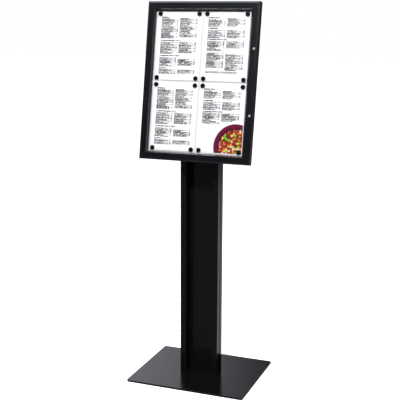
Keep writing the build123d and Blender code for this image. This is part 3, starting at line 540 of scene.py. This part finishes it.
def finish_board_and_plastics():
    finish_nodes(["magnet_board"], board_enamel())

    rubber_dark = rgb(0.010, 0.010, 0.010)
    rubber_light = rgb(0.018, 0.018, 0.018)
    rubber = moulded("seal_rubber", rubber_dark, rubber_light, 0.6, 0.75, 2500.0, 0.00003)
    finish_nodes(["case_seal", "glazing_seal"], rubber)

    cap_dark = rgb(0.008, 0.008, 0.008)
    cap_light = rgb(0.012, 0.012, 0.012)
    caps = moulded("cap_plastic", cap_dark, cap_light, 0.42, 0.52, 1800.0, 0.00004)
    finish_nodes(["post_cap_left", "post_cap_right"], caps)

    magnet_dark = rgb(0.0015, 0.0015, 0.0015)
    magnet_light = rgb(0.0025, 0.0025, 0.0025)
    gloss = moulded("magnet_plastic", magnet_dark, magnet_light, 0.18, 0.28, 300.0, 0.00001)
    finish_nodes(["magnets"], gloss)
    finish_nodes(["pane"], clear_sheet())


# ================================================================ the sheets
def blocks_of(page):
    """A page's printed blocks as (left, right, top, bottom, material index), in millimetres."""
    blocks = []
    for section in page:
        if "heading" in section:
            top, end, height = section["heading"]
            blocks.append((COLUMN_LEFT[0], end, top, top + height, HEADING))
        if "foot" in section:
            top, end, lines = section["foot"]
            blocks.append((COLUMN_LEFT[0], end, top, top + lines * LINE_PITCH, FOOT))
        for side, (x0, x1) in (("left", COLUMN_LEFT), ("right", COLUMN_RIGHT)):
            for top, lines in section.get(side, []):
                blocks.append((x0, x1, top, top + lines * LINE_PITCH, TEXT))
    return blocks


def cuts(marks, length):
    """Grid lines at every mark, and evenly between them where they are far apart."""
    ordered = sorted(set([0.0, length] + marks))
    lines = []
    for a, b in zip(ordered, ordered[1:]):
        steps = max(1, round((b - a) / GRID_STEP))
        lines += [a + (b - a) * i / steps for i in range(steps)]
    return lines + [length]


def lift_at(x, up):
    """How far a sheet stands off the board, in millimetres: nothing at a magnet, most at a free edge."""
    near_x = min(x, SHEET_W - x)
    near_up = min(up, SHEET_H - up)
    to_magnet = math.hypot(near_x - MAGNET_INSET_X, near_up - MAGNET_INSET_Z)
    held = min(1.0, max(0.0, (to_magnet - MAGNET_HOLD) / LIFT_FADE))
    side_curl = math.exp(-near_x / SIDE_CURL_REACH) * math.sin(math.pi * up / SHEET_H)
    end_curl = END_CURL_SHARE * math.exp(-near_up / END_CURL_REACH) * math.sin(math.pi * x / SHEET_W)
    return SHEET_LIFT * held * held * (3 - 2 * held) * min(1.0, side_curl + end_curl)


def block_at(blocks, x, down):
    for number, (x0, x1, top, bottom, index) in enumerate(blocks):
        if x0 < x < x1 and top < down < bottom:
            return number, (x0, x1, top, index)
    return None, None


def sheet_vertices(mesh, node_name, columns, rows):
    """A grid of vertices on the sheet's front, and each one's place as (across, down)."""
    low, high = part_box(node_name)
    corner = (low + high) / 2 - ACROSS * SHEET_W / 2 * MM - FACE_UP * SHEET_H / 2 * MM
    front = FACE_OUT * SHEET_T / 2 * MM
    grid = []
    spots = {}
    for down in rows:
        line = []
        for x in columns:
            up = SHEET_H - down
            place = corner + front + ACROSS * x * MM + FACE_UP * up * MM + FACE_OUT * lift_at(x, up) * MM
            vertex = mesh.verts.new(place)
            spots[vertex] = (x, down)
            line.append(vertex)
        grid.append(line)
    return grid, spots


def in_bowl_picture(x, down):
    x0, x1, y0, y1 = BOWL_FRAME
    return x0 < x < x1 and y0 < SHEET_H - down < y1


def printed_mesh(node_name, page, with_bowl):
    """The sheet's front as faces cut along the edges of what is printed, each with its print."""
    blocks = blocks_of(page)
    marks_x = [x for block in blocks for x in block[:2]]
    marks_y = [y for block in blocks for y in block[2:4]]
    if with_bowl:
        marks_x += BOWL_FRAME[:2]
        marks_y += [SHEET_H - y for y in BOWL_FRAME[2:]]
    columns = cuts(marks_x, SHEET_W)
    rows = cuts(marks_y, SHEET_H)

    mesh = bmesh.new()
    on_sheet = mesh.loops.layers.uv.new("on_sheet")
    from_corner = mesh.loops.layers.uv.new("from_block_corner")
    to_end = mesh.loops.layers.uv.new("to_block_end")
    grid, spots = sheet_vertices(mesh, node_name, columns, rows)
    for j in range(len(rows) - 1):
        for i in range(len(columns) - 1):
            face = mesh.faces.new((grid[j][i], grid[j + 1][i], grid[j + 1][i + 1], grid[j][i + 1]))
            face.smooth = True
            middle_x = (columns[i] + columns[i + 1]) / 2
            middle_down = (rows[j] + rows[j + 1]) / 2
            number, block = block_at(blocks, middle_x, middle_down)
            if block:
                face.material_index = block[3]
            elif with_bowl and in_bowl_picture(middle_x, middle_down):
                face.material_index = PICTURE
            for loop in face.loops:
                x, down = spots[loop.vert]
                loop[on_sheet].uv = (x, SHEET_H - down)
                if block:
                    left, right, top, _ = block
                    loop[from_corner].uv = (x - left, down - top + number * LINES_APART * LINE_PITCH)
                    loop[to_end].uv = (right - x, right - left)
    data = bpy.data.meshes.new("menu_" + node_name)
    mesh.to_mesh(data)
    mesh.free()
    return data


def make_sheet(node_name, page, materials, with_bowl=False):
    """One printed sheet, slightly proud of the board between its magnets."""
    data = printed_mesh(node_name, page, with_bowl)
    for material in materials:
        data.materials.append(material)
    sheet = bpy.data.objects.new("menu_" + node_name, data)
    bpy.context.scene.collection.objects.link(sheet)
    thickness = sheet.modifiers.new("thickness", "SOLIDIFY")
    thickness.thickness = SHEET_T * MM
    thickness.offset = -1.0
    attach(sheet, "root")
    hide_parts(node_name)


def make_sheets():
    print_materials = [
        paper(),
        greeked_text("menu_text", LINE_PITCH, 1.55, 0.006, 0.12, True),
        greeked_text("menu_heading", 5.2, 2.6, 0.004, 0.12, False),
        greeked_text("menu_foot", LINE_PITCH, 1.3, 0.03, 0.0, False),
        printed_bowl(),
    ]
    make_sheet("sheet_upper_left", PAGE_LEFT, print_materials)
    make_sheet("sheet_upper_right", PAGE_TOP_RIGHT, print_materials)
    make_sheet("sheet_lower_left", PAGE_LEFT, print_materials)
    make_sheet("sheet_lower_right", PAGE_BOTTOM_RIGHT, print_materials, with_bowl=True)


# ================================================================ stage, light and camera
def make_floor():
    low, high = -STAGE_HALF, STAGE_HALF
    corners = [(low, low, 0), (high, low, 0), (high, high, 0), (low, high, 0)]
    data = bpy.data.meshes.new("floor")
    data.from_pydata(corners, [], [(0, 1, 2, 3)])
    floor = bpy.data.objects.new("floor", data)
    bpy.context.scene.collection.objects.link(floor)
    floor.location.z = -STAGE_DROP
    material, _, shader = start_material("floor_white", rgb(0.85, 0.85, 0.85), 0.9, specular=0.1)
    shader.inputs["Emission Color"].default_value = rgb(1.0, 1.0, 1.0)
    shader.inputs["Emission Strength"].default_value = 0.80
    data.materials.append(material)
    floor.visible_glossy = False
    floor.visible_diffuse = False


def make_world():
    """A studio: dim walls, a pale floor behind, and soft panels that only the finishes mirror."""
    world = bpy.data.worlds.new("studio")
    bpy.context.scene.world = world
    world.use_nodes = True
    tree = world.node_tree
    tree.nodes.clear()
    direction = node(tree, "TexCoord").outputs["Generated"]
    split = node(tree, "SeparateXYZ", {0: direction})
    below = ramp(tree, split.outputs[2], -0.13, -0.24)
    behind = ramp(tree, split.outputs[1], -0.3, 0.5)
    light = maths(tree, "ADD", product(tree, below, behind, FLOOR_BEHIND), ROOM_WALLS)
    for towards, full, none, radiance in PANELS:
        aim = tuple(Vector(towards).normalized())
        along = node(tree, "VectorMath", {0: direction, 1: aim}, operation="DOT_PRODUCT").outputs["Value"]
        share = ramp(tree, along, math.cos(math.radians(none)), math.cos(math.radians(full)))
        light = maths(tree, "ADD", light, product(tree, share, radiance))
    room = node(tree, "Background", {"Color": rgb(0.90, 0.915, 1.0), "Strength": light})
    seen = node(tree, "Background", {"Color": rgb(1.0, 1.0, 1.0), "Strength": BACKGROUND})
    is_camera = node(tree, "LightPath").outputs["Is Camera Ray"]
    both = node(tree, "MixShader", {0: is_camera, 1: room.outputs[0], 2: seen.outputs[0]})
    node(tree, "OutputWorld", {"Surface": both.outputs[0]})


def make_softbox(name, place, width, height, power):
    data = bpy.data.lights.new(name, "AREA")
    data.shape = "RECTANGLE"
    data.size = width
    data.size_y = height
    data.energy = power
    lamp = bpy.data.objects.new(name, data)
    bpy.context.scene.collection.objects.link(lamp)
    lamp.location = place
    lamp.rotation_mode = "QUATERNION"
    lamp.rotation_quaternion = (Vector(LIGHTS_AIM) - Vector(place)).to_track_quat("-Z", "Y")
    lamp.visible_camera = False
    lamp.visible_glossy = False


def make_camera():
    ground = math.cos(CAMERA_ELEVATION)
    across = math.sin(CAMERA_AZIMUTH) * ground
    forward = -math.cos(CAMERA_AZIMUTH) * ground
    towards = Vector((across, forward, math.sin(CAMERA_ELEVATION)))
    data = bpy.data.cameras.new("camera")
    data.lens = CAMERA_LENS_MM
    camera = bpy.data.objects.new("camera", data)
    bpy.context.scene.collection.objects.link(camera)
    camera.location = CAMERA_TARGET + towards * CAMERA_DISTANCE
    camera.rotation_mode = "QUATERNION"
    roll = Quaternion((0.0, 0.0, 1.0), CAMERA_ROLL)
    camera.rotation_quaternion = (-towards).to_track_quat("-Z", "Y") @ roll
    bpy.context.scene.camera = camera


finish_stand()
finish_case_and_door()
finish_hardware()
finish_board_and_plastics()
make_sheets()
make_floor()
make_world()
for lamp_values in LAMPS:
    make_softbox(*lamp_values)
make_camera()
bpy.context.scene.view_settings.view_transform = "Standard"
